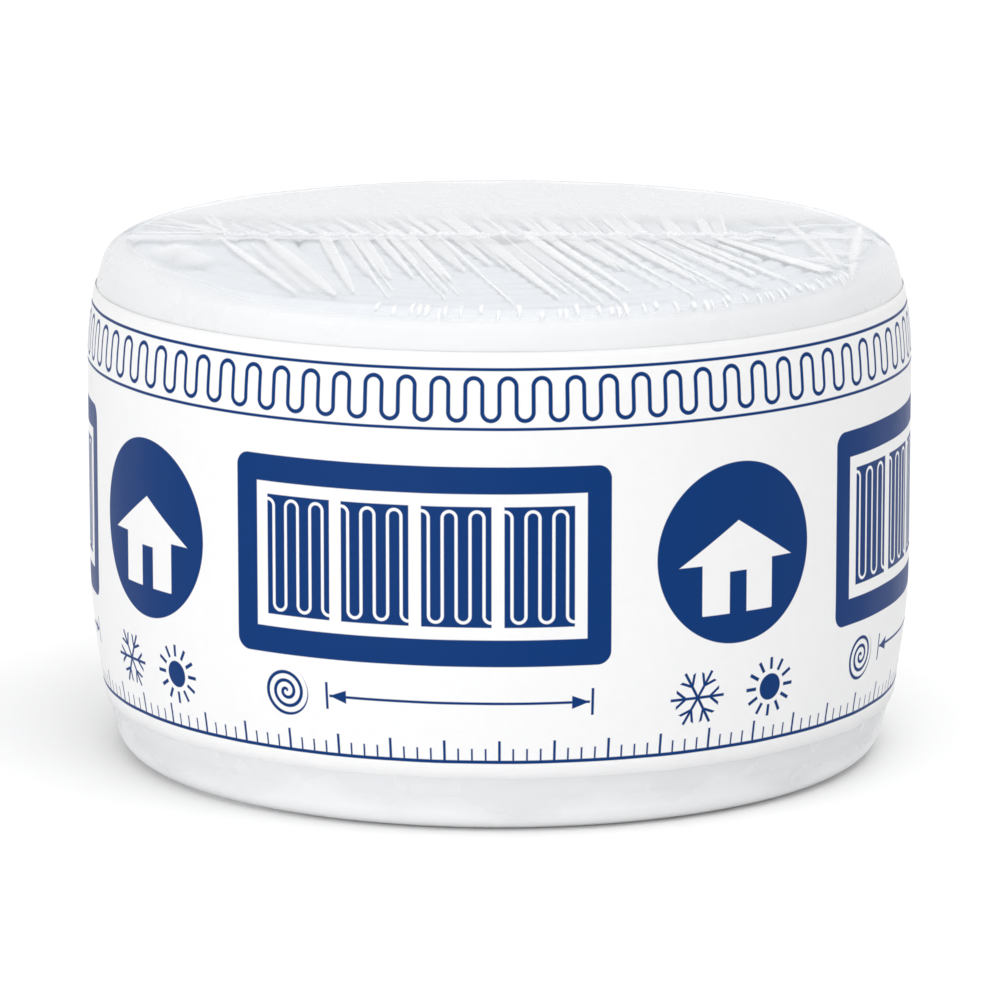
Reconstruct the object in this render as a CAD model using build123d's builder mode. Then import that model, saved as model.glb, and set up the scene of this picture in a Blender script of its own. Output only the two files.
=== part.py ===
from build123d import *
from math import cos, floor, pi, radians, sin, sqrt
import os

# A roll of glass-wool batt insulation, stood on its end.
# The batt is wound on itself and bagged in clear film, which is gathered into a straight seal
# across the end, and a printed sleeve is wrapped round the side.
# Millimetres. The origin is on the floor at the middle of the base, +Z is up and the seal runs along X.

# Wound batt
BATT_WIDTH = 381.0            # 15 in: the batt's width is the height of the standing roll
BATT_LENGTH = 11938.0         # 39 ft 2 in, unrolled
WOUND_DIAMETER = 609.6        # 24 in
EYE_DIAMETER = 30.0           # hole left inside the first turn
CREASE_WIDTH = 7.0            # crease on both ends where two turns meet
CREASE_DEPTH = 4.0

# Drawn-in edges: a tight arc round each edge of the roll runs into a slack one along its side
EDGE_SWEEP = 74.0             # degrees of a quarter turn that the tight arc takes up
SHOULDER_EDGE_RADIUS = 20.0
SHOULDER_SIDE_RADIUS = 260.0
HEEL_EDGE_RADIUS = 20.0
HEEL_SIDE_RADIUS = 480.0

# Clear film bag
BAG_FILM = 0.4
SEAL_LENGTH = 430.0
SEAL_WIDTH = 15.0
SEAL_HEIGHT = 4.5
SEAL_BEVEL = 1.5
GATHERS_PER_SIDE = 26
GATHER_WIDTH = 12.0           # widest gather, where it leaves the seal
GATHER_HEIGHT = 5.5
GATHER_SLANT = 8.0            # degrees between the gathers and a square crossing of the seal
GATHER_RIM_GAP = 10.0         # bare film between the longest gather's tip and the edge
GATHER_SHARES = (1.0, 0.66, 0.84, 0.58)   # size of each gather in turn, as a share of the largest
EAR_LENGTH = 84.0
EAR_WIDTH = 118.0
EAR_THICKNESS = 3.0
EAR_RIM_GAP = 6.0             # bare film between the ear's tip and the edge
EAR_CORNER_RADIUS = 9.0

# Printed sleeve
SLEEVE_FILM = 0.5
BARE_HEAD = 31.0              # height of clear film left showing above the sleeve
BARE_FOOT = 43.0              # and below it


def edge_reach(edge_radius, side_radius):
    """How far a drawn-in edge reaches in from the side."""
    return edge_radius * sin(radians(EDGE_SWEEP)) + side_radius * (1 - sin(radians(EDGE_SWEEP)))


wound_radius = WOUND_DIAMETER / 2
eye_radius = EYE_DIAMETER / 2
top_radius = wound_radius - edge_reach(SHOULDER_EDGE_RADIUS, SHOULDER_SIDE_RADIUS)
base_radius = wound_radius - edge_reach(HEEL_EDGE_RADIUS, HEEL_SIDE_RADIUS)
batt_bottom = BAG_FILM
batt_top = batt_bottom + BATT_WIDTH
bag_top = batt_top + BAG_FILM

# One turn is as thick as the wound area shared out along the batt's length.
turn_pitch = pi * (wound_radius**2 - eye_radius**2) / BATT_LENGTH
turns_on_end = floor((min(top_radius, base_radius) - CREASE_WIDTH - eye_radius) / turn_pitch)


def roll_section(growth):
    """Half-section of the roll's outline, with radius across and height up, grown evenly on every side."""
    with BuildSketch(mode=Mode.PRIVATE) as section:
        with BuildLine():
            base = Line((0, batt_bottom - growth), (base_radius, batt_bottom - growth))
            heel_edge = JernArc(base @ 1, (1, 0), HEEL_EDGE_RADIUS + growth, EDGE_SWEEP)
            heel_side = JernArc(heel_edge @ 1, heel_edge % 1, HEEL_SIDE_RADIUS + growth, 90 - EDGE_SWEEP)
            top = Line((0, batt_top + growth), (top_radius, batt_top + growth))
            shoulder_edge = JernArc(top @ 1, (1, 0), SHOULDER_EDGE_RADIUS + growth, -EDGE_SWEEP)
            shoulder_side = JernArc(
                shoulder_edge @ 1, shoulder_edge % 1, SHOULDER_SIDE_RADIUS + growth, EDGE_SWEEP - 90
            )
            Line(heel_side @ 1, shoulder_side @ 1)
            Line(top @ 0, base @ 0)
        make_face()
    return section.sketch


# Wound batt: turned with its eye, and a crease on both ends wherever one turn meets the next
with BuildPart() as batt:
    with BuildSketch(Plane.XZ):
        add(roll_section(0))
    revolve(axis=Axis.Z)
    with BuildSketch(Plane.XZ):
        for turn in range(1, turns_on_end + 1):
            seam_radius = eye_radius + turn * turn_pitch
            with Locations((seam_radius, batt_bottom), (seam_radius, batt_top)):
                Polygon(
                    (-CREASE_WIDTH / 2, 0),
                    (0, -CREASE_DEPTH),
                    (CREASE_WIDTH / 2, 0),
                    (0, CREASE_DEPTH),
                )
    revolve(axis=Axis.Z, mode=Mode.SUBTRACT)
    with Locations((0, 0, batt_bottom + BATT_WIDTH / 2)):
        Cylinder(eye_radius, BATT_WIDTH, mode=Mode.SUBTRACT)
batt.part.label = "rolled_batt"


# Seal: the welded strip of film, folded over and lying straight across the top
with BuildPart() as seal:
    with BuildSketch(Plane.XY.offset(bag_top)):
        Rectangle(SEAL_LENGTH, SEAL_WIDTH)
    extrude(amount=SEAL_HEIGHT)
    chamfer(seal.faces().sort_by(Axis.Z)[-1].edges(), SEAL_BEVEL)


# Gathers on one side of the seal: each is a fold of film, upright where it leaves the seal,
# that lies down to nothing towards the edge of the roll
gather_way = Vector(sin(radians(GATHER_SLANT)), -cos(radians(GATHER_SLANT)))
gather_pitch = SEAL_LENGTH / GATHERS_PER_SIDE
gather_rim = top_radius - GATHER_RIM_GAP
with BuildPart() as gathers:
    for number in range(GATHERS_PER_SIDE):
        root = Vector((number + 0.5) * gather_pitch - SEAL_LENGTH / 2, 0, bag_top)
        share = GATHER_SHARES[number % len(GATHER_SHARES)]
        across = root.X * gather_way.X
        to_rim = sqrt(across**2 + gather_rim**2 - root.X**2) - across
        with BuildSketch(Plane(root, x_dir=(0, 0, 1), z_dir=gather_way), mode=Mode.PRIVATE) as fold:
            with BuildLine():
                Polyline(
                    (0, -share * GATHER_WIDTH / 2),
                    (share * GATHER_HEIGHT, 0),
                    (0, share * GATHER_WIDTH / 2),
                    close=True,
                )
            make_face()
        loft([fold.sketch.face(), Vertex(root + gather_way * share * to_rim)], ruled=True)


# Ear: the flattened corner of the bag, folded down beyond the end of the seal
ear_tip = top_radius - EAR_RIM_GAP
with BuildPart() as ear:
    with BuildSketch(Plane.XY.offset(bag_top)) as flap:
        with BuildLine():
            Polyline(
                (ear_tip, 0),
                (ear_tip - EAR_LENGTH, EAR_WIDTH / 2),
                (ear_tip - EAR_LENGTH, -EAR_WIDTH / 2),
                close=True,
            )
        make_face()
        fillet(flap.vertices(), EAR_CORNER_RADIUS)
    extrude(amount=EAR_THICKNESS)


# Clear film bag: a closed skin over the batt, with the seal, its gathers and its two ears on top
with BuildPart() as bag:
    with BuildSketch(Plane.XZ):
        add(roll_section(BAG_FILM))
        add(roll_section(0), mode=Mode.SUBTRACT)
    revolve(axis=Axis.Z)
    add(seal.part)
    with PolarLocations(0, 2):
        add(gathers.part)
        add(ear.part)
bag.part.label = "clear_film_bag"


# Printed sleeve: a band of film that follows the bag's outline between its two cut edges
with BuildPart() as sleeve:
    with BuildSketch(Plane.XZ):
        add(roll_section(BAG_FILM + SLEEVE_FILM))
        add(roll_section(BAG_FILM), mode=Mode.SUBTRACT)
        with Locations((0, BARE_FOOT)):
            Rectangle(
                WOUND_DIAMETER,
                bag_top - BARE_HEAD - BARE_FOOT,
                align=(Align.MIN, Align.MIN),
                mode=Mode.INTERSECT,
            )
    revolve(axis=Axis.Z)
sleeve.part.label = "printed_sleeve"


os.makedirs("parts", exist_ok=True)
for piece in (batt, bag, sleeve):
    export_step(piece.part, f"parts/{piece.part.label}.step")
print(f"{turns_on_end} creases between the turns on each end, {turn_pitch:.1f} mm apart")
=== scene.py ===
# %% [markdown]
# # A roll of glass-wool insulation, stood on its end
#
# The roll is a long white batt of glass wool, wound up tight. It stands in a clear film bag, which is
# gathered into a straight seal across each end, and a printed film sleeve is wrapped round its side.
#
# The imported frame comes first. It gives each piece's place and size in metres, so that nothing has to be
# fitted by eye afterwards, and its box is printed at the end.

# %% Load the frame
import math

import bmesh
import bpy
import numpy as np
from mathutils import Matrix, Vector, noise


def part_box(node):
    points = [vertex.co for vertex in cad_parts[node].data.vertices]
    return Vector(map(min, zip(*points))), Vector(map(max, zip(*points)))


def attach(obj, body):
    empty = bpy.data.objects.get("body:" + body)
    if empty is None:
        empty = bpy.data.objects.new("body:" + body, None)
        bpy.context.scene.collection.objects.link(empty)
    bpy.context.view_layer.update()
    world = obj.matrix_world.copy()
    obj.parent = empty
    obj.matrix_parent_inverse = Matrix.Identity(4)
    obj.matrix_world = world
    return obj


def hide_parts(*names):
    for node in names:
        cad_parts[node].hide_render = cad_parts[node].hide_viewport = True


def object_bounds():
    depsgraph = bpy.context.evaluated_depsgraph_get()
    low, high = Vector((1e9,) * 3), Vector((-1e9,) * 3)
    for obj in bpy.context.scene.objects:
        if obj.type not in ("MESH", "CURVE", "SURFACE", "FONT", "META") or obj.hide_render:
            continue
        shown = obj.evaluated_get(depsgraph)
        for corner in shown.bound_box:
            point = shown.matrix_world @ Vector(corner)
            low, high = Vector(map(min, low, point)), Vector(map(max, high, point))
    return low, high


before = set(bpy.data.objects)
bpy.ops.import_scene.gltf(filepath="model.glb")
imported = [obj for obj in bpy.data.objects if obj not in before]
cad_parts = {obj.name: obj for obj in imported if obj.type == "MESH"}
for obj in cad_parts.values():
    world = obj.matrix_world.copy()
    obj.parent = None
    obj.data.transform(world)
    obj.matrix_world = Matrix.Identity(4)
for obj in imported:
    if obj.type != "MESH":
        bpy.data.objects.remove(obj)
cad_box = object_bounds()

batt_low, batt_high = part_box("rolled_batt")
bag_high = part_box("clear_film_bag")[1]
sleeve_low, sleeve_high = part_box("printed_sleeve")
ROLL_RADIUS = batt_high.x
ROLL_FOOT = batt_low.z
ROLL_HEAD = batt_high.z
print(f"roll: {2 * ROLL_RADIUS:.3f} m across, {ROLL_HEAD - ROLL_FOOT:.3f} m high")

# %% [markdown]
# ## Camera
#
# The photograph looks a little down on the roll from far away: the ellipses of the sleeve's two edges are
# almost equally flat, which asks for a long lens. The distance, the tilt and the scale come from fitting
# the outline, and the scale sets the lens.

# %% Camera
CAMERA_DISTANCE = 5.0
CAMERA_TILT = math.radians(11.7)
IMAGE_WIDTH = 1000
PIXELS_PER_METRE = 1336
AIM_ASIDE = 0.0004
AIM_BELOW_MIDDLE = 0.0104

aim = Vector((AIM_ASIDE, 0, (cad_box[0].z + cad_box[1].z) / 2 - AIM_BELOW_MIDDLE))
camera_data = bpy.data.cameras.new("camera")
camera_data.lens = PIXELS_PER_METRE * CAMERA_DISTANCE * camera_data.sensor_width / IMAGE_WIDTH
camera_data.clip_end = 60
camera = bpy.data.objects.new("camera", camera_data)
away = Vector((0, -math.cos(CAMERA_TILT), math.sin(CAMERA_TILT)))
camera.location = aim + away * CAMERA_DISTANCE
camera.rotation_euler = (-away).to_track_quat("-Z", "Y").to_euler()
bpy.context.scene.collection.objects.link(camera)
bpy.context.scene.camera = camera
print(f"camera: {camera_data.lens:.0f} mm lens, {math.degrees(CAMERA_TILT):.1f} degrees down")

# %% [markdown]
# ## Shader sums
#
# A printed sleeve is easiest to describe in sums: this far from that edge, so white or blue. Wiring Math
# nodes by hand hides those sums, so a value from a node is wrapped in a small class, and each operator on
# it adds its Math node.


# %% Values that change over a surface
class Value:
    """A number that changes over a surface. Sums written with it become Math nodes."""

    def __init__(self, socket):
        self.socket = socket

    def __add__(self, other):
        return reckon("ADD", self, other)

    def __radd__(self, other):
        return reckon("ADD", other, self)

    def __sub__(self, other):
        return reckon("SUBTRACT", self, other)

    def __rsub__(self, other):
        return reckon("SUBTRACT", other, self)

    def __mul__(self, other):
        return reckon("MULTIPLY", self, other)

    def __rmul__(self, other):
        return reckon("MULTIPLY", other, self)

    def __truediv__(self, other):
        return reckon("DIVIDE", self, other)

    def __abs__(self):
        return reckon("ABSOLUTE", self)

    def least(self, other):
        return reckon("MINIMUM", self, other)

    def most(self, other):
        return reckon("MAXIMUM", self, other)

    def clamped(self):
        return self.most(0).least(1)

    def wrapped(self, span):
        """The value brought into a span round nought, over and over."""
        return reckon("WRAP", self, span / 2, -span / 2)

    def with_side(self, other):
        """The long side of the right triangle whose short sides are this value and the other."""
        return reckon("SQRT", self * self + other * other)


def plug(node, inputs):
    """Links values to a node's sockets, by name or number, and sets plain numbers on the rest."""
    for key, value in inputs.items():
        if isinstance(value, Value):
            node.id_data.links.new(value.socket, node.inputs[key])
        else:
            node.inputs[key].default_value = value


def reckon(operation, *terms):
    """Adds the Math node for an operation on values and plain numbers."""
    first = next(term for term in terms if isinstance(term, Value))
    made = first.socket.id_data.nodes.new("ShaderNodeMath")
    made.operation = operation
    plug(made, dict(enumerate(terms)))
    return Value(made.outputs[0])


# %% [markdown]
# ## Finishes
#
# Each piece has a finish of its own: matt wool, clear film, printed film. They are node trees with the same
# few steps, such as noise, a blend of two colours or a bump, so a small class has a method for each step,
# and one method that adds any kind of node.


# %% A material in the making
class Finish:
    """A material in the making."""

    def __init__(self, name):
        self.material = bpy.data.materials.new(name)
        self.material.use_nodes = True
        self.tree = self.material.node_tree
        self.tree.nodes.clear()

    def node(self, kind, settings=None, inputs=None, output=0):
        """Adds a node, sets it up, plugs its sockets and gives back one of its outputs."""
        made = self.tree.nodes.new("ShaderNode" + kind)
        for key, setting in (settings or {}).items():
            setattr(made, key, setting)
        plug(made, inputs or {})
        return Value(made.outputs[output])

    def place(self):
        """The point on the surface, and its three numbers."""
        point = self.node("TexCoord", output="Object")
        return point, [self.node("SeparateXYZ", inputs={0: point}, output=axis) for axis in "XYZ"]

    def speckle(self, point, scale, detail=2.0):
        """Even noise, from 0 to 1."""
        return self.node("TexNoise", inputs={"Vector": point, "Scale": scale, "Detail": detail})

    def blend(self, under, over, share):
        """One colour laid over another by a share."""
        return self.node("Mix", {"data_type": "RGBA"}, {0: share, 6: under, 7: over}, output=2)

    def bump(self, height, distance, strength):
        """Fine relief, from a height that changes over the surface."""
        return self.node("Bump", inputs={"Height": height, "Distance": distance, "Strength": strength})

    def done(self, surface):
        """Joins a shader to the material's output and gives back the material."""
        end = self.tree.nodes.new("ShaderNodeOutputMaterial")
        self.tree.links.new(surface.socket, end.inputs["Surface"])
        print(f"finish {self.material.name}: {len(self.tree.nodes)} nodes")
        return self.material


# %% [markdown]
# ## The roll's outline
#
# Every piece follows one outline: a flat base, a heel drawn in by the tight film, a plain side, a shoulder
# and a flat top. The heel and the shoulder are each a tight arc round the edge that runs into a slack one
# along the side, because film pulls hardest at an edge.

# %% Sizes of the outline
EDGE_SWEEP = math.radians(74)
SHOULDER_EDGE, SHOULDER_SIDE = 0.020, 0.260
HEEL_EDGE, HEEL_SIDE = 0.020, 0.480
QUARTER = math.pi / 2


def edge_reach(edge, side):
    """How far a drawn-in edge reaches in from the side."""
    return edge * math.sin(EDGE_SWEEP) + side * (1 - math.sin(EDGE_SWEEP))


def edge_rise(edge, side):
    """How far it reaches along the side."""
    return edge * (1 - math.cos(EDGE_SWEEP)) + side * math.cos(EDGE_SWEEP)


HEAD_RADIUS = ROLL_RADIUS - edge_reach(SHOULDER_EDGE, SHOULDER_SIDE)
FOOT_RADIUS = ROLL_RADIUS - edge_reach(HEEL_EDGE, HEEL_SIDE)
SHOULDER_HEIGHT = ROLL_HEAD - edge_rise(SHOULDER_EDGE, SHOULDER_SIDE)
print(f"top flat {HEAD_RADIUS:.3f} m, base flat {FOOT_RADIUS:.3f} m in radius")

# %% [markdown]
# The outline is drawn as half a section, standing on the XZ plane. A vertex draws it as a pen would: it is
# extruded along the straight runs and spun round a centre for the arcs, so no point is worked out by hand.

# %% Half-section of the roll
ARC_STEPS = 10


def run_to(bm, tip, radius, height):
    """Draws a straight run from the vertex at the tip."""
    tip = bmesh.ops.extrude_vert_indiv(bm, verts=[tip])["verts"][0]
    tip.co = (radius, 0, height)
    return tip


def swing(bm, tip, facing, radius, sweep):
    """Draws an arc from the tip, where the outline faces that angle, bending towards the axis."""
    centre = tip.co - radius * Vector((math.cos(facing), 0, math.sin(facing)))
    arc = bmesh.ops.spin(bm, geom=[tip], cent=centre, axis=(0, -1, 0), angle=sweep, steps=ARC_STEPS)
    return next(part for part in arc["geom_last"] if isinstance(part, bmesh.types.BMVert))


def half_section(growth, inner):
    """Half of the outline, grown evenly, from the base up to the top, outside an inner radius."""
    bm = bmesh.new()
    tip = bm.verts.new((inner, 0, ROLL_FOOT - growth))
    tip = run_to(bm, tip, FOOT_RADIUS, ROLL_FOOT - growth)
    tip = swing(bm, tip, -QUARTER, HEEL_EDGE + growth, EDGE_SWEEP)
    tip = swing(bm, tip, EDGE_SWEEP - QUARTER, HEEL_SIDE + growth, QUARTER - EDGE_SWEEP)
    tip = run_to(bm, tip, ROLL_RADIUS + growth, SHOULDER_HEIGHT)
    tip = swing(bm, tip, 0, SHOULDER_SIDE + growth, QUARTER - EDGE_SWEEP)
    tip = swing(bm, tip, QUARTER - EDGE_SWEEP, SHOULDER_EDGE + growth, EDGE_SWEEP)
    tip = run_to(bm, tip, inner, ROLL_HEAD + growth)
    return bm, tip


def cut_long_runs(bm, longest, edges=None):
    """Cuts the straight runs, so that no edge of the section, or of those given, is longer than this."""
    for edge in edges or bm.edges[:]:
        cuts = math.ceil(edge.calc_length() / longest) - 1
        if cuts > 0:
            bmesh.ops.subdivide_edges(bm, edges=[edge], cuts=cuts)


# %% [markdown]
# A section is turned once round the axis, as on a lathe. Spin leaves a seam and may turn the faces inwards,
# so the seam's doubles are merged and the normals recalculated. Each finished mesh then becomes an object
# at the origin that stands for its node of the frame.


# %% From a section to a piece
def turn_on_axis(bm, steps):
    """Turns the section once round the axis and points the faces outwards."""
    section = bm.verts[:] + bm.edges[:]
    bmesh.ops.spin(
        bm, geom=section, cent=(0, 0, 0), axis=(0, 0, 1), angle=math.tau, steps=steps, use_merge=True
    )
    bmesh.ops.remove_doubles(bm, verts=bm.verts, dist=1e-6)
    bmesh.ops.recalc_face_normals(bm, faces=bm.faces)
    bm.normal_update()


def make_piece(name, bm, material, node):
    """Makes the mesh an object that stands for a node of the frame."""
    mesh = bpy.data.meshes.new(name)
    bm.to_mesh(mesh)
    bm.free()
    mesh.shade_smooth()
    mesh.materials.append(material)
    piece = bpy.data.objects.new(name, mesh)
    bpy.context.scene.collection.objects.link(piece)
    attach(piece, "root")
    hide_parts(node)
    print(f"{name}: {len(mesh.polygons)} faces")
    return piece


# %% [markdown]
# ## Glass wool
#
# Glass wool is a mat of fine white fibres. Single fibres are far too thin to model, so what shows is a
# soft, matt, slightly clumpy white: noise in two sizes gives the clumps and the strands of the bump, and a
# little of it goes into the colour.


# %% Wool finish
def wool_finish():
    wool = Finish("glass_wool")
    point, _ = wool.place()
    clumps = wool.speckle(point, 45, 4)
    strands = wool.speckle(wool.node("Mapping", inputs={"Vector": point, "Scale": (1, 1, 6)}), 260, 5)
    colour = wool.blend((0.88, 0.88, 0.875, 1), (0.95, 0.95, 0.945, 1), clumps)
    bump = wool.bump(clumps * 0.6 + strands * 0.4, 0.003, 0.35)
    return wool.done(
        wool.node(
            "BsdfPrincipled",
            inputs={"Base Color": colour, "Roughness": 0.95, "Sheen Weight": 0.2, "Normal": bump},
        )
    )


# %% [markdown]
# ## The wound batt
#
# The batt is one turned body with the eye of the first turn left open. Where one turn meets the next the
# ends are creased, and on the real roll that crease is one long spiral, so the vertices of both ends sink
# along a spiral. Noise then makes the wool lumpy, and it lies a little inside the film.

# %% Wound batt
EYE_RADIUS = 0.015
TURN_PITCH = 0.0244
CREASE_DEPTH = 0.004
WOOL_GAP = 0.0016
LONGEST_WOOL_RUN = 0.004
BATT_STEPS = 144


def wool_relief(point, normal):
    """How far the wool's surface lies from the smooth outline."""
    lumps = 0.0010 * noise.noise(point * 28) + 0.0007 * noise.noise(point * 75)
    bearing = math.atan2(point.y, point.x) / math.tau
    turn = (math.hypot(point.x, point.y) - EYE_RADIUS) / TURN_PITCH - bearing
    crease = CREASE_DEPTH * (2 * abs(turn % 1 - 0.5)) ** 6
    return lumps - WOOL_GAP - crease * max(0, abs(normal.z) - 0.5) * 2


bm, tip = half_section(0, EYE_RADIUS)
bm.verts.ensure_lookup_table()
bmesh.ops.contextual_create(bm, geom=[bm.verts[0], tip])
cut_long_runs(bm, LONGEST_WOOL_RUN)
turn_on_axis(bm, BATT_STEPS)
for vert in bm.verts:
    vert.co += vert.normal * wool_relief(vert.co, vert.normal)
batt = make_piece("wound_batt", bm, wool_finish(), "rolled_batt")

# %% [markdown]
# ## Clear film
#
# Polythene film lets most light through, and shines. Where it is gathered, several layers lie on each
# other and it turns milky. So the finish mixes see-through film with a milky gloss, and the share of the
# gloss comes from an attribute that the film's shape sets on every vertex; in a few places it also holds
# painted light: painted highlights on the puckers, and whiteness that lifts the shade at the weld and the
# foot. Fine ripples run along the threads of the film, which lean a little because the bag was twisted as
# it was welded.


# %% Film finish
LEAN = 0.22


def film_finish():
    film = Finish("clear_film")
    point, (x, y, z) = film.place()
    # The attribute holds the film's milkiness, and in a few places painted light.
    milk = film.node("Attribute", {"attribute_name": "milk"}, output="Fac")
    cloud = film.speckle(point, 30, 3)
    along = film.node("CombineXYZ", inputs={0: x + LEAN * y, 1: y * 0.06, 2: z * 0.25})
    ripples = film.speckle(along, 220, 3)
    bump = film.bump(ripples, 0.0015, 0.10)
    gleam = film.node("Fresnel", inputs={"IOR": 1.45, "Normal": bump})
    clear = film.node("BsdfTransparent", inputs={"Color": (0.918, 0.931, 0.950, 1)})
    milky = film.node(
        "BsdfPrincipled",
        inputs={
            "Base Color": film.blend((0.89, 0.91, 0.94, 1), (0.95, 0.955, 0.965, 1), milk),
            "Roughness": 0.10 + 0.10 * cloud + 0.15 * milk,
            "Specular IOR Level": 0.5,
            "Normal": bump,
        },
    )
    share = 0.03 + 0.05 * cloud + 0.80 * milk + 0.12 * gleam
    return film.done(film.node("MixShader", inputs={0: share, 1: clear, 2: milky}))


# %% [markdown]
# ## The film bag
#
# The bag is a tube of film, slipped over the roll, drawn together at both ends and welded straight across.
# Its section is the outline again, with a small hole left at both ends and an upright edge above the upper
# one, which becomes the weld. The runs are cut finest on the top, where the pleats show.

# %% Film bag: a thread of film
FILM = bag_high.x - batt_high.x
HOLE = 0.004
FIN = 0.009
LONGEST_RUNS = {ROLL_FOOT - FILM: 0.02, ROLL_HEAD + FILM: 0.0070, ROLL_HEAD + FILM + FIN: FIN / 2}


def points_along(vert):
    """The section's points in order, from the vertex at one end."""
    points = [vert.co.copy()]
    edge = vert.link_edges[0]
    while edge:
        vert = edge.other_vert(vert)
        points.append(vert.co.copy())
        edge = next((other for other in vert.link_edges if other != edge), None)
    return points


bm, tip = half_section(FILM, HOLE)
run_to(bm, tip, HOLE, ROLL_HEAD + FILM + FIN)
for level, longest in LONGEST_RUNS.items():
    run = [edge for edge in bm.edges if any(abs(vert.co.z - level) < 1e-6 for vert in edge.verts)]
    cut_long_runs(bm, longest, run)
section = np.array(points_along(max(bm.verts, key=lambda vert: vert.co.z)))[::-1]
bm.free()
rows = len(section)
print(f"a thread of film: {rows} points")

# %% [markdown]
# A flat grid is the film before it is rolled up: each column is a thread, and each row takes its radius and
# height from a point of the section. A spin would give the same tube, but on a grid all threads can be
# moved at once, as arrays. They stand closer together at the front and the back, where the pleats are.

# %% Film bag: a sheet rolled into a tube
THREADS = 1000
CROWDING = 0.22

bm = bmesh.new()
bmesh.ops.create_grid(bm, x_segments=THREADS, y_segments=rows - 1, size=0.5)
grid = np.array([vert.co for vert in bm.verts]) + 0.5
row = np.rint(grid[:, 1] * (rows - 1)).astype(int)
angle = grid[:, 0] * math.tau
angle = angle + CROWDING * np.sin(2 * angle)
radius, height_of = section[row, 0], section[row, 2]
slope = np.gradient(section, axis=0)[row]
steep = np.hypot(slope[:, 0], slope[:, 2])
out = np.stack([np.cos(angle) * slope[:, 2], np.sin(angle) * slope[:, 2], -slope[:, 0]], axis=1)
out /= steep[:, None]
print(f"film: {THREADS} threads of {rows} points")

# %% [markdown]
# Moving the inner points of every thread on to the seal's line gathers the end, as the welder does. The
# film was twisted a little as it was welded, so the threads cross the seal at a slant.

# %% Film bag: both ends drawn together
SEAL_HALF = 0.205
PLY_GAP = 0.0005

fin = np.clip(height_of - ROLL_HEAD - FILM, 0, None)
top = height_of > ROLL_HEAD
low = height_of < ROLL_FOOT
upper = height_of > SHOULDER_HEIGHT
rim_x, rim_y = HEAD_RADIUS * np.cos(angle), HEAD_RADIUS * np.sin(angle)
reach = np.clip((radius - HOLE) / (HEAD_RADIUS - HOLE), 0, 1)
across = (rim_x + LEAN * rim_y) / (HEAD_RADIUS * math.hypot(1, LEAN))
seal_x = SEAL_HALF * across * (1.2 - 0.2 * across**2)
from_seal = np.abs(rim_y) * reach
past_rim = np.where(top, radius - HEAD_RADIUS, np.hypot(radius - HEAD_RADIUS, ROLL_HEAD + FILM - height_of))
ply = np.sign(rim_y) * PLY_GAP * (1 - reach)
flat_x = np.where(top | low, seal_x + (rim_x - seal_x) * reach, radius * np.cos(angle))
flat_y = np.where(top | low, rim_y * reach + ply, radius * np.sin(angle))
print(f"seal: {seal_x.max() - seal_x.min():.3f} m long")

# %% [markdown]
# Three numbers on every point then shape the film: how far it is lifted, how far it sways to the side, and
# how milky it is. Each gather is a pleat that lies over on the film: broad at the seal, and pointed where it
# runs out towards the rim. No two are alike, so their places, lengths and widths come from a seeded draw.

# %% Film bag: folds and pleats
lift = np.zeros(len(angle))
milk = np.zeros(len(angle))
sway = np.zeros(len(angle))


def smooth(start, end, value):
    """A soft step from 0 to 1 between two values."""
    share = np.clip((value - start) / (end - start), 0, 1)
    return share * share * (3 - 2 * share)


def add_fold(blade, height, whiteness, edge=0.3):
    """Lifts the film by a fold and turns it milky there. Its edges take up this share of its half width."""
    np.maximum(lift, height * smooth(0, edge + 0.2, blade), out=lift)
    np.maximum(milk, whiteness * smooth(0, edge, blade), out=milk)


def add_pleat(end, side, root, length, half, height, lie, whiteness):
    """One pleat on one side of the seal, at one end of the roll."""
    taper = np.where(end & (side * rim_y > 0), np.clip(1 - from_seal / length, 0, 1), 0)
    blade = np.clip(1 - np.abs(seal_x - root) / (half * taper**0.45 + 1e-6), 0, 1) * taper**0.25
    moved = blade * lie
    sway[:] = np.where(np.abs(moved) > np.abs(sway), moved, sway)
    add_fold(blade, height, whiteness)


# %% [markdown]
# Both ends of the roll are gathered in the same way, each with its own draw. Under the base the roll's
# weight presses the pleats flat and lays their crests over past their feet, so there the film folds over
# itself. Thin creases run between the pleats.

# %% Film bag: gathers
PLEAT_LENGTHS = [0.12, 0.17, 0.21, 0.27]
TOP_RISE, TOP_LAID_OVER = 0.0010, 0.55
BASE_RISE, BASE_LAID_OVER = 0.0004, 2.7
THIN_CREASES = 16
THIN_HALF = 0.0018

draw = np.random.default_rng(19)
pleats = 0
for end, height, laid in ((top, TOP_RISE, TOP_LAID_OVER), (low, BASE_RISE, BASE_LAID_OVER)):
    for side in (-1, 1):
        root = -0.156 - 0.026 * side
        while root < 0.172 - 0.005 * side:
            length = draw.choice(PLEAT_LENGTHS) * draw.uniform(0.8, 1.15)
            half = draw.uniform(0.0045, 0.0095)
            lie = laid * half * draw.uniform(0.4, 1.0)
            rise = height * draw.uniform(0.5, 1)
            add_pleat(end, side, root, length, half, rise, lie, draw.uniform(0.45, 0.85))
            root += draw.uniform(0.0085, 0.0155)
            pleats += 1
        for root in draw.uniform(-0.120, 0.190, THIN_CREASES):
            add_pleat(end, side, root, draw.uniform(0.1, 0.3), THIN_HALF, height * 0.3, 0.001, 0.8)

print(f"{pleats} pleats at both ends")

# %% [markdown]
# At the upper weld all plies are pressed into one low ripple, and the pleats come out of it over two
# centimetres. Near the rim they stop swaying, so that none swings out past the edge.

# %% Film bag: pleats pressed at the weld
RIPPLE_PITCH = 0.017
PRESSED = 0.020

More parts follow.
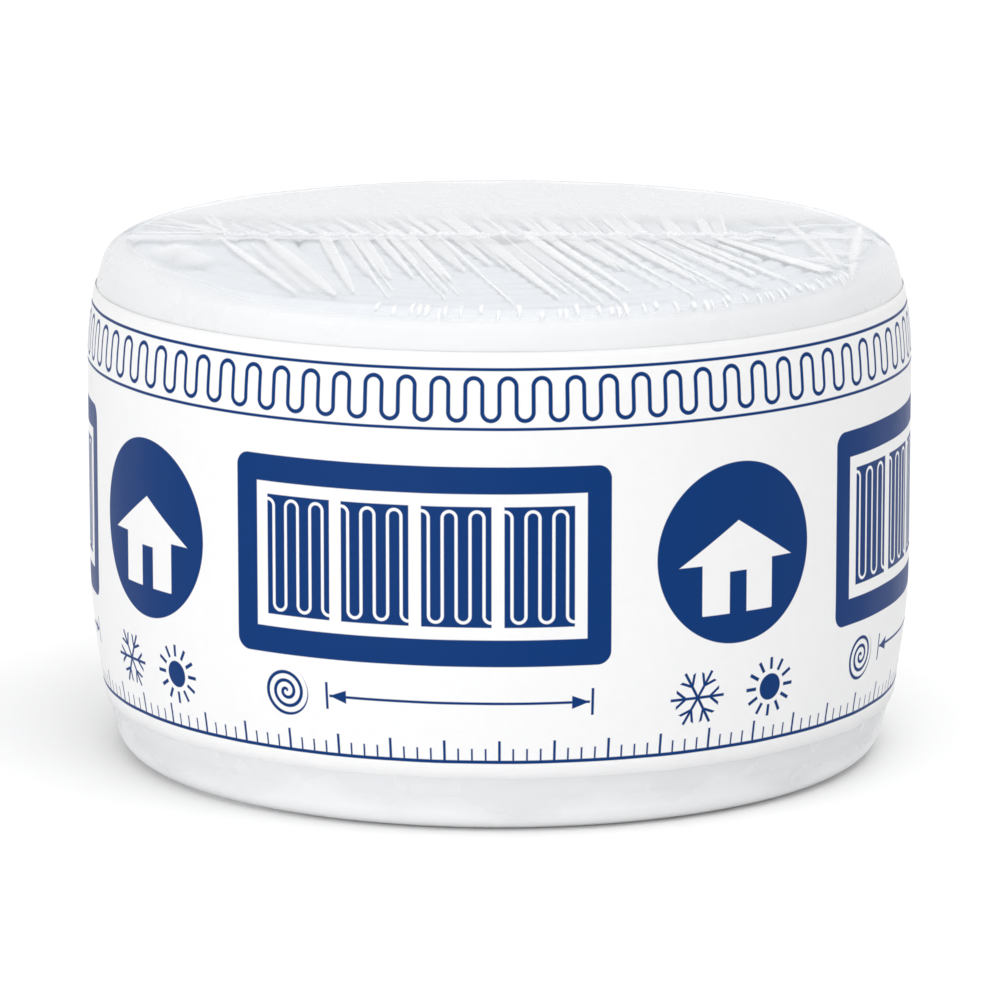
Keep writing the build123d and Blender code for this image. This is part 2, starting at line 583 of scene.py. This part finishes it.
ripple = (0.0010 + 0.0006 * np.sin(seal_x * math.tau / RIPPLE_PITCH)) * top
off_weld = smooth(0.0, PRESSED, from_seal)
lift = np.where(top, ripple + (lift - ripple) * off_weld, lift)
room = np.where(top, HEAD_RADIUS, FOOT_RADIUS) - np.hypot(flat_x, flat_y)
sway *= np.where(top, off_weld, 1) * smooth(0.004, 0.050, room)
print(f"pleats rise {1000 * lift.max():.1f} mm and sway {1000 * np.abs(sway).max():.1f} mm at most")

# %% [markdown]
# Over the front edge of the roll the tight film puckers, and the light catches the puckers as a row of
# beads. Each is a short fold across the edge, painted full white as well: a painted highlight for the glint.

# %% Film bag: puckers
PUCKERS_FROM, PUCKERS_TO = math.radians(250), math.radians(332)

pucker = PUCKERS_FROM
puckers = 0
while pucker < PUCKERS_TO:
    pucker += draw.uniform(0.014, 0.055)
    half = draw.uniform(0.0011, 0.0019)
    middle = draw.uniform(0.010, 0.016)
    stretch = draw.uniform(0.002, 0.004)
    rise = draw.uniform(0.0004, 0.0010)
    blade = np.clip(1 - np.abs(angle - pucker) * HEAD_RADIUS / half, 0, 1)
    over_edge = np.exp(-(((past_rim - middle) / stretch) ** 2))
    # Painted highlight: each pucker is painted fully milky, for the glint of the light on its fold.
    add_fold(np.where(upper, blade * over_edge, 0), rise, 1.0)
    puckers += 1
print(f"{puckers} puckers over the front edge")

# %% [markdown]
# Beyond each end of the seal the corner of the bag is loose, and it is crumpled: creases run between facets
# of film, as the borders of cells do. So a cell noise draws them, fanned out from the end of the seal.

# %% Film bag: crumpled corners
EAR_RISE = 0.0020
EAR_WHITENESS = 0.55
CREASE_SHARE = 0.12


def add_ear(side, start, front):
    """Crumples the corner beyond one end of the seal, outside a start and behind a front line."""
    loose = smooth(start, start + 0.035, side * flat_x) * smooth(front - 0.02, front + 0.02, flat_y)
    loose *= (1 - smooth(-0.010, 0.012, past_rim)) * upper
    out_x = side * flat_x - start + 0.02
    ray, far = np.arctan2(flat_y, out_x), np.hypot(out_x, flat_y)
    for number in np.flatnonzero(loose > 0):
        gaps, centres = noise.voronoi(Vector((2.4 * ray[number], 12 * far[number], 3.7 * side)))
        crease = max(0.0, 1 - (gaps[1] - gaps[0]) / CREASE_SHARE)
        cloudy = 0.5 + 0.5 * noise.cell(centres[0] * 31)
        height = EAR_RISE * (0.2 + 0.5 * crease + 0.9 * (0.7 - gaps[0]))
        white = min(EAR_WHITENESS * (0.1 + 0.7 * cloudy + 0.8 * crease), 1)
        lift[number] = max(lift[number], loose[number] * height)
        milk[number] = max(milk[number], loose[number] * white)
    print(f"crumpled corner at {side * start:.3f} m: {np.count_nonzero(loose)} points")


# %% [markdown]
# Some folds of the corners can be told apart on the photograph, so they are laid one by one: straight
# creases, smooth facets between them, a milky patch and pockets of air. Their places are in metres on the
# top, seen from above, and a line's points are found by how far along and beside it they lie.


# %% Film bag: folds laid one by one
def beside(start, end):
    """How far along a straight line each point of the film lies, as a share, and how far beside it."""
    run_x, run_y = end[0] - start[0], end[1] - start[1]
    length = math.hypot(run_x, run_y)
    along = ((flat_x - start[0]) * run_x + (flat_y - start[1]) * run_y) / length**2
    aside = np.abs((flat_x - start[0]) * run_y - (flat_y - start[1]) * run_x) / length
    return along, aside


def add_crease(start, end, half, height, whiteness):
    """One straight, soft crease across the top, pointed at both ends."""
    along, aside = beside(start, end)
    width = half * np.clip(4 * along * (1 - along), 0, 1) ** 0.5 + 1e-6
    add_fold(np.where(upper, np.clip(1 - aside / width, 0, 1), 0), height, whiteness, edge=0.8)


def add_facet(start, end, half, whiteness):
    """A smooth facet of film between the creases, clear or milky."""
    along, aside = beside(start, end)
    inside = upper * smooth(0, 0.1, along) * smooth(0, 0.1, 1 - along) * smooth(0, 0.003, half - aside)
    lift[:] *= 1 - inside
    milk[:] += (whiteness - milk) * inside


def add_milky_patch(start, end, half, whiteness):
    """A soft patch where the film lies double."""
    along, aside = beside(start, end)
    inside = upper * smooth(-0.05, 0.25, along) * smooth(0, 0.20, 1 - along) * smooth(0, 0.020, half - aside)
    np.maximum(milk, whiteness * inside, out=milk)


def add_bulge(x, y, half_x, half_y, height):
    """A pocket of air under the film."""
    dome = np.clip(1 - ((flat_x - x) / half_x) ** 2 - ((flat_y - y) / half_y) ** 2, 0, 1) * upper
    lift[:] += height * dome**1.5
    np.maximum(milk, 0.60 * smooth(0, 1, dome), out=milk)


# %% [markdown]
# The right corner is a flap that is pulled tight: two clear facets, a long crease beside them, short
# wrinkles out to the rim, and a bright line where the flap turns over the edge.

# %% Film bag: the right corner
add_ear(1, 0.205, -0.160)
add_facet((0.200, 0.040), (0.210, 0.145), half=0.011, whiteness=0.04)
add_facet((0.206, 0.030), (0.222, -0.095), half=0.011, whiteness=0.04)
add_crease((0.207, 0.142), (0.241, -0.105), half=0.0062, height=0.0006, whiteness=0.7)
add_crease((0.188, 0.044), (0.238, 0.050), half=0.0075, height=0.0006, whiteness=0.7)
add_crease((0.224, 0.052), (0.268, 0.060), half=0.0055, height=0.0008, whiteness=0.7)
add_crease((0.220, 0.080), (0.259, 0.100), half=0.0065, height=0.0008, whiteness=0.7)
add_crease((0.230, 0.020), (0.270, 0.004), half=0.0055, height=0.0008, whiteness=0.7)
add_crease((0.238, -0.004), (0.246, -0.118), half=0.0062, height=0.0006, whiteness=0.7)
add_crease((0.271, 0.055), (0.254, -0.140), half=0.0080, height=0.0008, whiteness=0.85)

# %% [markdown]
# The left corner is slack. A fan of creases leaves the end of the seal towards the back. In front of it the
# film lies double in two broad pleats, beside a clear strip and a bright crease, and air is caught under it.

# %% Film bag: the left corner
FAN_ROOT = (-0.205, 0.020)

add_ear(-1, 0.160, -0.020)
for tip in ((-0.225, 0.140), (-0.232, 0.123), (-0.255, 0.085), (-0.268, 0.060), (-0.270, 0.020)):
    add_crease(FAN_ROOT, tip, half=0.0050, height=0.0009, whiteness=0.8)
add_milky_patch((-0.188, 0.000), (-0.120, -0.262), half=0.030, whiteness=0.42)
add_facet((-0.186, -0.050), (-0.160, -0.150), half=0.0080, whiteness=0.05)
add_crease((-0.176, 0.010), (-0.116, -0.246), half=0.0125, height=0.0008, whiteness=0.75)
add_crease((-0.184, -0.020), (-0.134, -0.232), half=0.0080, height=0.0005, whiteness=0.6)
add_facet((-0.225, -0.012), (-0.160, -0.245), half=0.0085, whiteness=0.03)
add_crease((-0.208, 0.004), (-0.144, -0.236), half=0.0070, height=0.0005, whiteness=0.8)
add_bulge(-0.2380, -0.075, half_x=0.026, half_y=0.058, height=0.0040)
add_bulge(-0.2240, -0.102, half_x=0.022, half_y=0.046, height=0.0030)

# %% [markdown]
# Film is milky where it is doubled or drawn in tight: at the seal, where the plies lie many deep, and over
# the shoulder. The back half of the top is made milky as well. Down the side and most of all at the heel,
# below a line that wanders, the film is milky where it is gathered. The white at the seal and at the foot
# is partly painted light: it lifts the shade along the weld, and stands for the light the pale floor throws
# up on the foot. Beside the two loose corners the white of the shoulder reaches further in over the top.

# %% Film bag: milky film
slack = np.exp(-(((angle - math.pi - 0.30) / 0.40) ** 2))
slack += 0.5 * np.exp(-(((angle - math.tau + 0.20) / 0.30) ** 2))
wander = 0.005 * np.sin(7 * angle) + 0.004 * np.sin(17 * angle + 2)

# The weld's plies are milky, and this white is also painted light that lifts the shade along the weld.
seal_milk_and_painted_light = 0.6 * (1 - smooth(0.002, 0.022, from_seal)) * top
on_shoulder = 0.90 * smooth(0.014 - 0.055 * slack, 0.024, past_rim) * upper
at_back = 0.80 * smooth(0.005, 0.12, flat_y) * top
# Below the shoulder the film is milky, whitest under a wandering line at the heel: partly gathered film,
# partly painted light for the pale floor's bounce on the foot.
below = 0.75 + 0.25 * (1 - smooth(0.012, 0.030, height_of + wander)) - upper
for share in (seal_milk_and_painted_light, on_shoulder, at_back, below):
    np.maximum(milk, share, out=milk)
print(f"milk: from {milk.min():.2f} to {milk.max():.2f}")

# %% [markdown]
# Now the points move. Past the weld the two plies are crimped, and lie over to the back. A fold lifts the
# film along its normal, but under the base and on the weld it rises straight up. The attribute goes on
# the vertices for the finish to read, and at last the tube's long seam is merged.

crimp = 0.4 * np.sin(seal_x * math.tau / 0.0045) + 0.6 * np.sin(seal_x * math.tau / 0.021 + 1)
level = np.minimum(height_of, ROLL_HEAD + FILM) + fin * (0.20 + 0.10 * crimp)
spots = np.stack([flat_x + sway, flat_y + fin * (0.75 + 0.20 * crimp), level], axis=1)
straight_up = low | (fin > 0)
spots += out * np.where(straight_up, 0, lift)[:, None]
spots[:, 2] += np.where(straight_up, lift, 0)

milk_layer = bm.verts.layers.float.new("milk")
for vert, spot, share in zip(bm.verts, spots, milk):
    vert.co = spot
    vert[milk_layer] = share
bmesh.ops.remove_doubles(bm, verts=bm.verts, dist=1e-6)
bmesh.ops.recalc_face_normals(bm, faces=bm.faces)
bag = make_piece("film_bag", bm, film_finish(), "clear_film_bag")
print(f"film area {sum(face.area for face in bag.data.polygons):.3f} m2")

# %% [markdown]
# ## The print
#
# The sleeve is printed in one dark blue on white. Each mark is a sum: the distance from a shape's edge,
# turned into ink where it is below nought. Where shapes are joined, the least of their distances counts.
# An edge made like this never shows pixels, only a blur of about half a millimetre. The drawing repeats
# four times round the roll.

# %% Ink
SLEEVE_RADIUS = sleeve_high.x
REPEAT = math.tau * SLEEVE_RADIUS / 4
BLUE = (0.0030, 0.036, 0.165, 1)
EDGE_BLUR = 0.0006


def ink(distance):
    """How much of a point is inked, from its distance outside a shape."""
    return (0.5 - distance / EDGE_BLUR).clamped()


def panel(across, up, half_width, half_height, corner):
    """Distance outside a rectangle with rounded corners."""
    side = (abs(across) - (half_width - corner)).most(0)
    end = (abs(up) - (half_height - corner)).most(0)
    return side.with_side(end) - corner


print(f"one repeat of the print is {REPEAT:.3f} m long")

# %% [markdown]
# The largest mark is a blue panel on which a stud wall is left white: two plates, the studs between them,
# and the batts as a building plan shows them, by endless loops. Next to it is a blue roundel with a house.

# %% Stud wall and roundel
STUD_PITCH = 0.059
WALL_HALF = 0.1225
BATTS_HALF = 0.114
ROUNDEL_RADIUS = 0.066


def loops(across, up, pitch, half_height, line):
    """Distance outside the endless loops that stand for a batt on a building plan."""
    below = reckon("LESS_THAN", up, 0)
    side = (across - pitch / 2 + below * pitch).wrapped(2 * pitch)
    end = (abs(up) - (half_height - pitch / 2)).most(0)
    return abs(side.with_side(end) - pitch / 2) - line / 2


def stud_wall(across, up):
    """Ink of the panel with the wall left white on it."""
    field = panel(across, up, 0.140, 0.072, 0.010)
    plates = (abs(abs(up) - 0.048) - 0.0045).most(abs(across) - WALL_HALF)
    studs = (abs(across.wrapped(STUD_PITCH)) - 0.0045).most(abs(up) - 0.052).most(abs(across) - WALL_HALF)
    batts = loops(across, up, STUD_PITCH / 6, 0.040, 0.0022).most(abs(across) - BATTS_HALF)
    return ink(field) * (1 - ink(plates.least(studs).least(batts)))


def house(across, up, size):
    """Distance outside a small house: walls and a gable roof, with the doorway left open."""
    walls = panel(across, up + 0.42 * size, 0.66 * size, 0.42 * size, 0.02 * size)
    roof = (abs(across) * 0.62 + up - 0.62 * size).most(0 - up - 0.04 * size)
    door = panel(across, up + 0.52 * size, 0.16 * size, 0.34 * size, 0.01 * size)
    return walls.least(roof).most(0 - door)


def house_roundel(across, up):
    """Ink of the disc with the house left white on it."""
    disc = across.with_side(up) - ROUNDEL_RADIUS
    return ink(disc) * (1 - ink(house(across, up + 0.005, 0.046)))


# %% [markdown]
# The same loops run round under the upper edge as a frieze between two rules. A ruler with short and long
# ticks runs round above the lower edge.


# %% Frieze and ruler
def borders(round_way, up):
    """Ink of the frieze and of the ruler."""
    frieze_up = up - 0.275
    frieze = loops(round_way, frieze_up, REPEAT / 40, 0.015, 0.0030)
    rules = abs(abs(frieze_up) - 0.021) - 0.0011
    foot_rule = abs(up - 0.012) - 0.0013
    ticks = (abs(round_way.wrapped(REPEAT / 48)) - 0.0007).most(abs(up - 0.017) - 0.005)
    long_ticks = (abs(round_way.wrapped(REPEAT / 12)) - 0.0010).most(abs(up - 0.020) - 0.008)
    return ink(frieze.least(rules).least(foot_rule).least(ticks).least(long_ticks))


# %% [markdown]
# Under the panel are a coil, which is the roll seen on its end, and a measuring arrow for its length. Under
# the roundel are a snowflake and a sun, for the cold and the heat that the wool keeps out. Their arms are
# one arm, repeated by wrapping the angle round the centre.


# %% Small marks
def spiral(across, up, outer, pitch, line):
    """Distance outside a roll seen on its end."""
    far = across.with_side(up)
    turn = reckon("ARCTAN2", up, across) / math.tau
    winding = abs((far - turn * pitch).wrapped(pitch)) - line / 2
    return winding.most(far - outer)


def arrow_line(across, up, half):
    """Distance outside a measuring arrow: a line, its two heads and the two ticks it runs between."""
    left = half - abs(across)
    line = (abs(up) - 0.0010).most(0 - left)
    heads = (abs(up) - left * 0.38).most(left - 0.013)
    ticks = (abs(left + 0.002) - 0.0010).most(abs(up) - 0.010)
    return line.least(heads).least(ticks)


def arms_round(across, up, count):
    """A point's place along and beside the nearest of some arms round a centre."""
    far = across.with_side(up)
    turn = reckon("ARCTAN2", up, across).wrapped(math.tau / count)
    return far * reckon("COSINE", turn), far * reckon("SINE", turn)


def snowflake(across, up, size):
    """Distance outside a snowflake, for the cold."""
    along, aside = arms_round(across, up, 6)
    arms = (abs(aside) - 0.05 * size).most(along - size)
    barbs = (abs(abs(aside) - (along - 0.45 * size) * 0.8) - 0.06 * size).most(along - 0.8 * size)
    return arms.least(barbs.most(0.45 * size - along))


def sun(across, up, size):
    """Distance outside a sun, for the heat."""
    along, aside = arms_round(across, up, 12)
    rays = (abs(aside) - 0.06 * size).most(abs(along - 0.8 * size) - 0.2 * size)
    return rays.least(across.with_side(up) - 0.45 * size)


def small_marks(across, between, up):
    """Ink of the marks under the panel and under the roundel."""
    coil = spiral(across + 0.100, up - 0.056, 0.018, 0.0062, 0.0026)
    arrow = arrow_line(across - 0.030, up - 0.056, 0.095)
    cold = snowflake(between + 0.032, up - 0.052, 0.022)
    heat = sun(between - 0.032, up - 0.052, 0.022)
    return ink(coil.least(arrow).least(cold).least(heat))


# %% [markdown]
# The finish lays the ink on white film. The way round the roll comes from the angle about its axis, so the
# print needs no unwrapping. The film has a faint grain and slow waves in its bump, and ink is a little
# smoother than bare film.

# %% Sleeve finish
PRINT_SHIFT = 0.06
MAIN_HEIGHT = 0.155


def sleeve_finish():
    printed = Finish("printed_film")
    point, (x, y, z) = printed.place()
    round_way = reckon("ARCTAN2", x, 0 - y) * SLEEVE_RADIUS
    up = z - sleeve_low.z
    across = (round_way + PRINT_SHIFT).wrapped(REPEAT)
    between = (round_way + PRINT_SHIFT + REPEAT / 2).wrapped(REPEAT)
    inked = stud_wall(across, up - MAIN_HEIGHT).most(house_roundel(between, up - MAIN_HEIGHT))
    inked = inked.most(borders(round_way, up)).most(small_marks(across, between, up))

    grain = printed.speckle(point, 120, 2)
    paper = printed.blend((0.845, 0.845, 0.85, 1), (0.875, 0.875, 0.88, 1), grain)
    bump = printed.bump(printed.speckle(point, 14, 3), 0.004, 0.12)
    return printed.done(
        printed.node(
            "BsdfPrincipled",
            inputs={
                "Base Color": printed.blend(paper, BLUE, inked),
                "Roughness": 0.42 - 0.06 * inked + 0.06 * grain,
                "Specular IOR Level": 0.06,
                "Normal": bump,
            },
        )
    )


# %% [markdown]
# ## The sleeve
#
# The sleeve is a band of thicker film round the side. Its section is the outline again, a little larger,
# cut level at both edges, and turned. The film pulls into faint upright waves, and the free lower edge
# stands a little away from the bag.

# %% Sleeve
SLEEVE_GROWTH = sleeve_high.x - ROLL_RADIUS
SLEEVE_FILM = SLEEVE_GROWTH - FILM
LONGEST_SLEEVE_RUN = 0.012
SLEEVE_STEPS = 360
WAVE_RISE = 0.0004
FREE_EDGE, FREE_EDGE_RISE = 0.02, 0.0012

bm, _ = half_section(SLEEVE_GROWTH - SLEEVE_FILM / 2, EYE_RADIUS)
for height, up in ((sleeve_low.z, -1), (sleeve_high.z, 1)):
    bmesh.ops.bisect_plane(
        bm, geom=bm.verts[:] + bm.edges[:], plane_co=(0, 0, height), plane_no=(0, 0, up), clear_outer=True
    )
cut_long_runs(bm, LONGEST_SLEEVE_RUN)
turn_on_axis(bm, SLEEVE_STEPS)
for vert in bm.verts:
    bearing = math.atan2(vert.co.y, vert.co.x)
    wave = noise.noise(Vector((9 * math.cos(bearing), 9 * math.sin(bearing), 1.5 * vert.co.z)))
    free = max(0, 1 - (vert.co.z - sleeve_low.z) / FREE_EDGE)
    vert.co += vert.normal * (WAVE_RISE * (1 + wave) + FREE_EDGE_RISE * free * (1 + 0.5 * wave))
sleeve = make_piece("sleeve", bm, sleeve_finish(), "printed_sleeve")
wall = sleeve.modifiers.new("film", "SOLIDIFY")
wall.thickness = SLEEVE_FILM
wall.offset = 0

# %% [markdown]
# ## Stage
#
# The roll stands on a plain pale floor that runs far out behind it, as paper does in a studio, so no edge
# or corner of a room shows.

# %% Floor
FLOOR_HALF = 30


def floor_finish():
    pale = Finish("pale_floor")
    point, _ = pale.place()
    colour = pale.blend((0.96, 0.96, 0.96, 1), (0.975, 0.975, 0.975, 1), pale.speckle(point, 3))
    return pale.done(pale.node("BsdfPrincipled", inputs={"Base Color": colour, "Roughness": 0.9}))


bm = bmesh.new()
bmesh.ops.create_grid(bm, x_segments=2, y_segments=2, size=FLOOR_HALF)
floor_mesh = bpy.data.meshes.new("floor")
bm.to_mesh(floor_mesh)
bm.free()
floor_mesh.materials.append(floor_finish())
floor = bpy.data.objects.new("floor", floor_mesh)
bpy.context.scene.collection.objects.link(floor)
print(f"floor: {2 * FLOOR_HALF} m across")

# %% [markdown]
# ## Light
#
# An even sky lights the roll from all round. The camera, shiny surfaces and clear film see it as pure
# white, but it shines more weakly, so that the folds keep some shade.

# %% Sky
SKY_LIGHT = 0.60

bpy.context.scene.view_settings.view_transform = "Standard"
sky = bpy.data.worlds.new("sky")
bpy.context.scene.world = sky
sky.use_nodes = True
sky.node_tree.nodes.clear()
path = sky.node_tree.nodes.new("ShaderNodeLightPath")
seen = Value(path.outputs["Is Camera Ray"])
seen = seen.most(Value(path.outputs["Is Glossy Ray"])).most(Value(path.outputs["Is Transmission Ray"]))
strength = seen * (1 - SKY_LIGHT) + SKY_LIGHT
background = sky.node_tree.nodes.new("ShaderNodeBackground")
plug(background, {"Color": (1, 1, 1, 1), "Strength": strength})
world_out = sky.node_tree.nodes.new("ShaderNodeOutputWorld")
sky.node_tree.links.new(background.outputs[0], world_out.inputs["Surface"])
print(f"sky: {SKY_LIGHT:.2f} of its white shines on the roll")

# %% [markdown]
# Three lamps add to the sky. A broad, soft sun from above and in front does most of the work. A long box
# behind the roll puts a gleam on the gathered top, and a low one at the left lightens the foot.


# %% Lamps
def add_lamp(name, kind, place, towards, power, **settings):
    """A lamp at a place, pointed at another."""
    lamp = bpy.data.lights.new(name, kind)
    lamp.energy = power
    for key, setting in settings.items():
        setattr(lamp, key, setting)
    holder = bpy.data.objects.new(name, lamp)
    holder.location = place
    holder.rotation_euler = (Vector(towards) - Vector(place)).to_track_quat("-Z", "Y").to_euler()
    bpy.context.scene.collection.objects.link(holder)
    print(f"lamp {name}: power {power}")


add_lamp("back_box", "AREA", (0.1, 1.9, 2.3), (0, 0, 0.38), 3, shape="RECTANGLE", size=1.6, size_y=0.2)
add_lamp("low_fill", "AREA", (-1.3, -2.2, 0.14), (0, 0, 0.05), 15, shape="RECTANGLE", size=2.6, size_y=0.25)
add_lamp("broad_light", "SUN", (0.35, -0.7, 3.2), (0, 0, 0), 1.5, angle=math.radians(50))

# %% [markdown]
# ## The frame's box
#
# The box of the imported frame is printed.

# %% Finish
print("cad box", [tuple(round(n, 4) for n in corner) for corner in cad_box])
